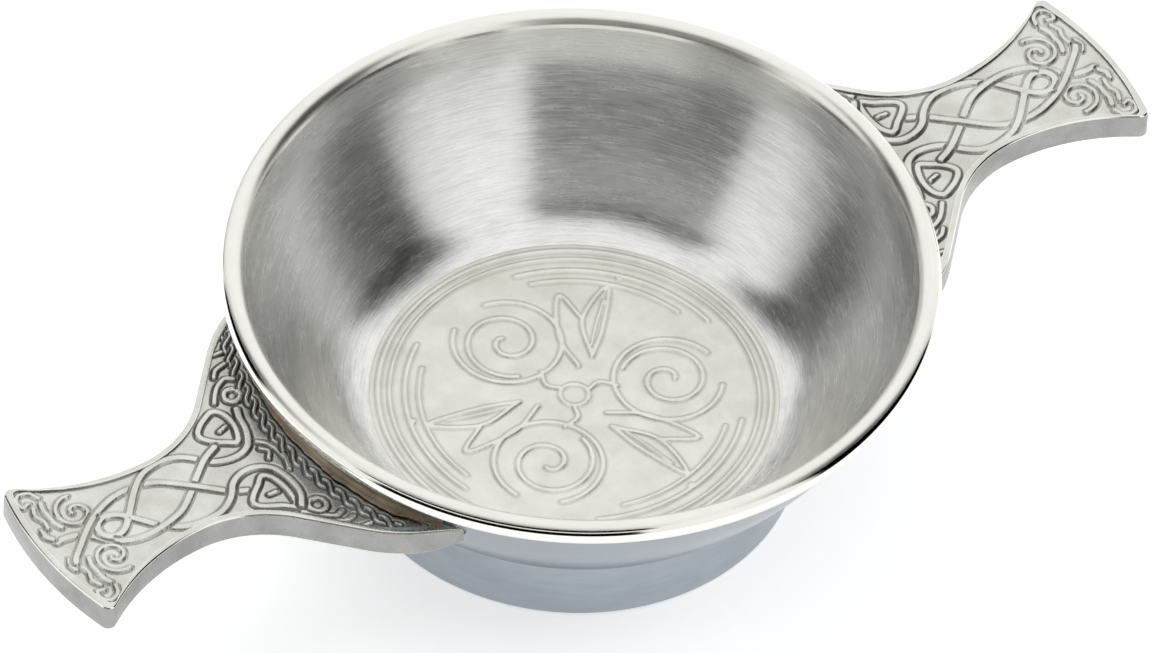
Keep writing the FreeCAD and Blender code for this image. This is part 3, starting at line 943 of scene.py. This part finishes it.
def carve(mesh):
    """Raise the bands on a flat field, and write how hollow each point lies: tarnish in the grooves, painted
    shade on the band edges, and a painted shadow of the bead near the root.
    """
    co = np.empty(len(mesh.vertices) * 3)
    mesh.vertices.foreach_get("co", co)
    co = co.reshape(-1, 3)
    on_top = np.where(co[:, 2] > (FIELD - 0.05) * MM)[0]
    places = co[on_top][:, :2] / MM
    best = np.full(len(places), -9.0)
    rise = np.zeros(len(places))
    hollow = np.full(len(places), 0.10)
    for (line, half), row in zip(band_lines, passes):
        distance, position = distance_to(places, line, half + 0.5)
        if row:
            sides = [knot[crossing] * sign for _, crossing, sign in row]
            height = np.interp(position, [place for place, _, _ in row], sides)
        else:
            height = np.zeros(len(places))
        touched = (distance < half + 0.34) & (height > best)
        across = np.clip(distance / half, 0, 1)
        crest = BAND_RISE * (1 + 0.25 * height) * np.sqrt(1 - across ** 5)
        beside = -GROOVE_DEPTH * np.exp(-(((distance - half - 0.14) / 0.15) ** 2))
        rise[touched] = np.where(distance < half, crest, beside)[touched]
        groove = np.exp(-(((distance - half - 0.14) / 0.17) ** 2))
        # Dark on the band edges and in the grooves beside them: tarnish and painted shade.
        dark = np.where(distance < half, 0.7 * across ** 7, 0.10 + 0.8 * groove)
        hollow[touched] = dark[touched]
        best[touched] = height[touched]
    co[on_top, 2] += rise * MM
    mesh.vertices.foreach_set("co", co.ravel())
    values = np.ones(len(co))
    # Darker towards the root: a painted shadow of the bead that overhangs the lug.
    painted_bead_shadow = np.clip((66.0 - np.hypot(places[:, 0], places[:, 1])) / 11.0, 0, 1)
    values[on_top] = np.clip(hollow * (0.42 + 1.08 * painted_bead_shadow) + 0.02 * painted_bead_shadow, 0, 1)
    mesh.attributes.new("hollow", "FLOAT", "POINT").data.foreach_set("value", values)
    mesh.update()


right_field = finish_piece(build_field(), "right_interlace", [], [cast_lug], 180)
carve(right_field.data)
left_mesh = right_field.data.copy()
left_mesh.transform(Matrix.Rotation(math.pi, 4, "Z"))
left_field = bpy.data.objects.new("left_interlace", left_mesh)
bpy.context.collection.objects.link(left_field)
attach(left_field, "root")

# %% [markdown]
# ## The solder at the lugs
#
# Solder was run into the corner above and below each lug. It is thickest in the middle, thins out
# towards the horns, and its surface is uneven.

# %% Solder at the lugs
def lug_solder_profile():
    below = LUG_UNDER - 1.0
    above = LUG_TOP + 1.5
    wall_low = wall_reach(LUG_UNDER)
    wall_high = wall_reach(LUG_TOP)
    profile = [(wall_reach(below), below)]
    profile += [(wall_low + 0.3, LUG_UNDER - 0.42), (wall_low + 1.0, LUG_UNDER)]
    profile += [(wall_low + 0.1, LUG_UNDER + 0.1)]
    profile += [(wall_high + 0.1, LUG_TOP - 0.15), (wall_high + 1.75, LUG_TOP - 0.15)]
    hollow = [(1.7, 0.0), (1.22, 0.14), (0.82, 0.36), (0.5, 0.66), (0.22, 1.04), (0.05, 1.35)]
    profile += [(wall_reach(LUG_TOP + up) + out, LUG_TOP + up) for out, up in hollow]
    profile += [(wall_reach(above), above), (wall_reach(above) - 0.2, above)]
    profile += [(wall_high - 0.2, LUG_TOP), (wall_reach(below) - 0.2, below)]
    return profile


half_turn = math.radians(32)
for side_name, turn in (("right", 0.0), ("left", math.pi)):
    seam = spin_profile(lug_solder_profile(), 150, 2 * half_turn, -half_turn, closed=True)
    for point in seam.verts:
        angle = math.atan2(point.co.y, point.co.x)
        reach = math.hypot(point.co.x, point.co.y)
        wall = wall_reach(point.co.z / MM) * MM
        taper = max(0.0, min(1.0, (half_turn - abs(angle)) / math.radians(9))) ** 0.7
        uneven = 1 + 0.16 * noise.noise(point.co * 420) + 0.08 * noise.noise(point.co * 1100)
        if reach > wall:
            target = wall + (reach - wall) * (0.15 + 0.85 * taper) * uneven
            point.co.x *= target / reach
            point.co.y *= target / reach
    bmesh.ops.rotate(seam, verts=seam.verts, cent=(0, 0, 0), matrix=Matrix.Rotation(turn, 3, "Z"))
    finish_piece(seam, f"{side_name}_solder", [f"{side_name}_lug_solder"], [tarnished_solder], 60)

# %% [markdown]
# ## The studio
#
# Polished metal shows the room more than its own colour. The room is white all round, with a few dark
# screens in it: one above the other on the camera's side, and one at each side. Their reflections, and
# reflections of those, are the dark patches inside the bowl and the thin dark line along the bead.
# Only reflections see the screens.

# %% Stage pieces
def add_stage(name, work, finish):
    mesh = bpy.data.meshes.new(name)
    work.to_mesh(mesh)
    work.free()
    mesh.materials.append(finish)
    piece = bpy.data.objects.new(name, mesh)
    bpy.context.collection.objects.link(piece)
    return piece


def seen_by_rays(tree):
    """1 for camera, glossy and transmission rays, and 0 for the rest."""
    rays = put(tree, "ShaderNodeLightPath")
    shown = calculate(tree, "MAXIMUM", rays.outputs["Is Camera Ray"], rays.outputs["Is Glossy Ray"])
    return calculate(tree, "MAXIMUM", shown, rays.outputs["Is Transmission Ray"])


world = bpy.data.worlds.new("white_room")
bpy.context.scene.world = world
world.use_nodes = True
tree = world.node_tree
tree.nodes.clear()
strength = remap(tree, seen_by_rays(tree), 0.0, 1.0, 0.6, 1.0)
sky = put(tree, "ShaderNodeBackground", {"Color": (1, 1, 1, 1), "Strength": strength})
end = put(tree, "ShaderNodeOutputWorld", {"Surface": sky.outputs[0]})

white_paper, tree, shader = new_material("white_paper")
shader.inputs["Base Color"].default_value = (0.86, 0.87, 0.88, 1)
shader.inputs["Roughness"].default_value = 0.9
shader.inputs["Specular IOR Level"].default_value = 0.0
shader.inputs["Emission Color"].default_value = (1, 1, 1, 1)
tree.links.new(calculate(tree, "MULTIPLY", seen_by_rays(tree), 0.5), shader.inputs["Emission Strength"])
paper = bmesh.new()
bmesh.ops.create_grid(
    paper, x_segments=1, y_segments=1, size=3.0, matrix=Matrix.Translation((0, 0, -0.0005))
)
add_stage("floor", paper, white_paper)

# %% [markdown]
# The screens are parts of a sphere round the bowl. Each fades into the white room at its edge, as the
# reflection of a screen that hangs out of focus does. Turns are degrees to the right of the camera as
# the bowl sees it, and heights are degrees above the table.

# %% Dark screens
SCREEN_REACH = 0.9
SOFT_FOOT = 2.0
camera_bearing = math.atan2(towards_camera.y, towards_camera.x)


def screen_finish(name):
    material, tree, shader = new_material(name)
    fade = put(tree, "ShaderNodeAttribute", attribute_name="fade").outputs["Fac"]
    shader.inputs["Base Color"].default_value = (0, 0, 0, 1)
    shader.inputs["Specular IOR Level"].default_value = 0.0
    shader.inputs["Emission Color"].default_value = (1, 1, 1, 1)
    tree.links.new(remap(tree, fade, 0.0, 1.0, 1.0, 0.0), shader.inputs["Emission Strength"])
    return material


def add_screen(name, turns, heights, soft_turn, soft_height):
    work = bmesh.new()
    rises = [math.radians(value) for value in np.linspace(heights[0], heights[1], 25)]
    start = camera_bearing + math.radians(turns[0])
    points = [
        work.verts.new((
            SCREEN_REACH * math.cos(rise) * math.cos(start),
            SCREEN_REACH * math.cos(rise) * math.sin(start),
            SCREEN_REACH * math.sin(rise),
        ))
        for rise in rises
    ]
    edges = [work.edges.new(pair) for pair in zip(points, points[1:])]
    bmesh.ops.spin(
        work, geom=points + edges, cent=(0, 0, 0), axis=(0, 0, 1),
        angle=math.radians(turns[1] - turns[0]), steps=48,
    )
    screen = add_stage(name, work, screen_finish(name + "_cloth"))
    fades = []
    for point in screen.data.vertices:
        rise = math.degrees(math.asin(point.co.z / SCREEN_REACH))
        turn = math.degrees(math.atan2(point.co.y, point.co.x) - camera_bearing)
        turn = (turn - turns[0] + 60) % 360 + turns[0] - 60
        side = min(turn - turns[0], turns[1] - turn) / soft_turn
        top = min((rise - heights[0]) / SOFT_FOOT, (heights[1] - rise) / soft_height)
        share = max(0.0, min(1.0, side)) * max(0.0, min(1.0, top))
        fades.append(share * share * (3 - 2 * share))
    screen.data.attributes.new("fade", "FLOAT", "POINT").data.foreach_set("value", fades)
    screen.visible_camera = False
    screen.visible_diffuse = False
    screen.visible_transmission = False
    screen.visible_shadow = False


add_screen("front_screen", (-56, 22), (2, 31), 4, 3)
add_screen("upper_screen", (-68, 28), (36, 63), 4, 4)
add_screen("right_screen", (66, 122), (0, 64), 6, 12)
add_screen("left_screen", (-126, -92), (0, 64), 6, 12)
add_screen("left_strip", (-160, -124), (5, 15), 6, 2)

# %% [markdown]
# Two broad lamps give the table its soft light. They are not seen in the metal, which takes its light
# from the room.

# %% Lamps
LAMP_SIZE = 0.9
for name, bearing, power in (("key", (-0.9, 0.5, 1.3), 6.0), ("fill", (1.0, -0.6, 1.1), 5.0)):
    lamp_data = bpy.data.lights.new(name, "AREA")
    lamp_data.size = LAMP_SIZE
    lamp_data.energy = power
    lamp = bpy.data.objects.new(name, lamp_data)
    lamp.location = bearing
    lamp.rotation_mode = "QUATERNION"
    lamp.rotation_quaternion = Vector(bearing).to_track_quat("Z", "Y")
    lamp.visible_glossy = False
    bpy.context.collection.objects.link(lamp)
